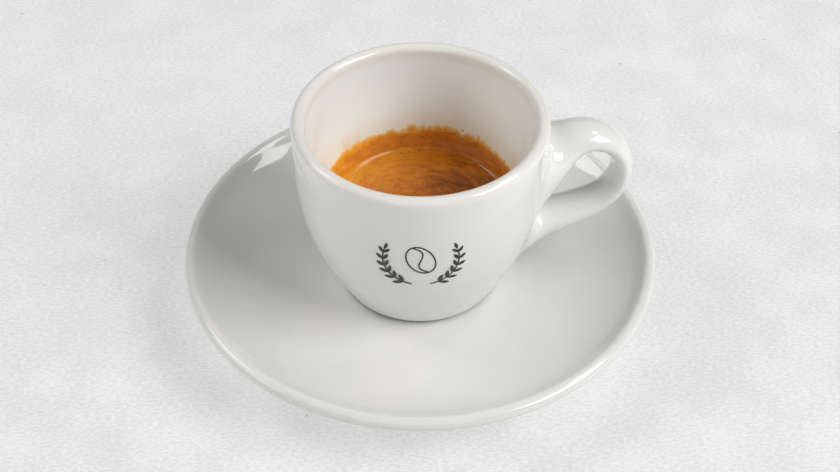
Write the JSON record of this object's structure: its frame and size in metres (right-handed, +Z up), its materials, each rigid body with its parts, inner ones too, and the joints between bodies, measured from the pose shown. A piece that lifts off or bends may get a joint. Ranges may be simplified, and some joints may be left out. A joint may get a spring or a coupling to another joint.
{
  "type": "espresso shot in cup and saucer",
  "caption": "Espresso with golden crema in a thick-walled round porcelain cup with a loop handle, standing on its dished saucer.",
  "frame": {"origin": "on the cup's axis, in the plane that the saucer's foot ring stands on", "axes": "+Z up along the axis of cup and saucer; +X towards the handle, whose loop lies in the XZ plane; the object mirrors across Y = 0 apart from the foam's ragged edge"},
  "size_m": [0.12, 0.12, 0.0579],
  "materials": {
    "saucer_glaze": "glossy",
    "cup_glaze": "glossy",
    "coffee": "glossy liquid",
    "foam": "satin wet foam"
  },
  "bodies": {
    "root": {"saucer": "saucer_glaze", "cup": "cup_glaze", "espresso": "coffee", "crema": "foam"}
  },
  "joints": []
}
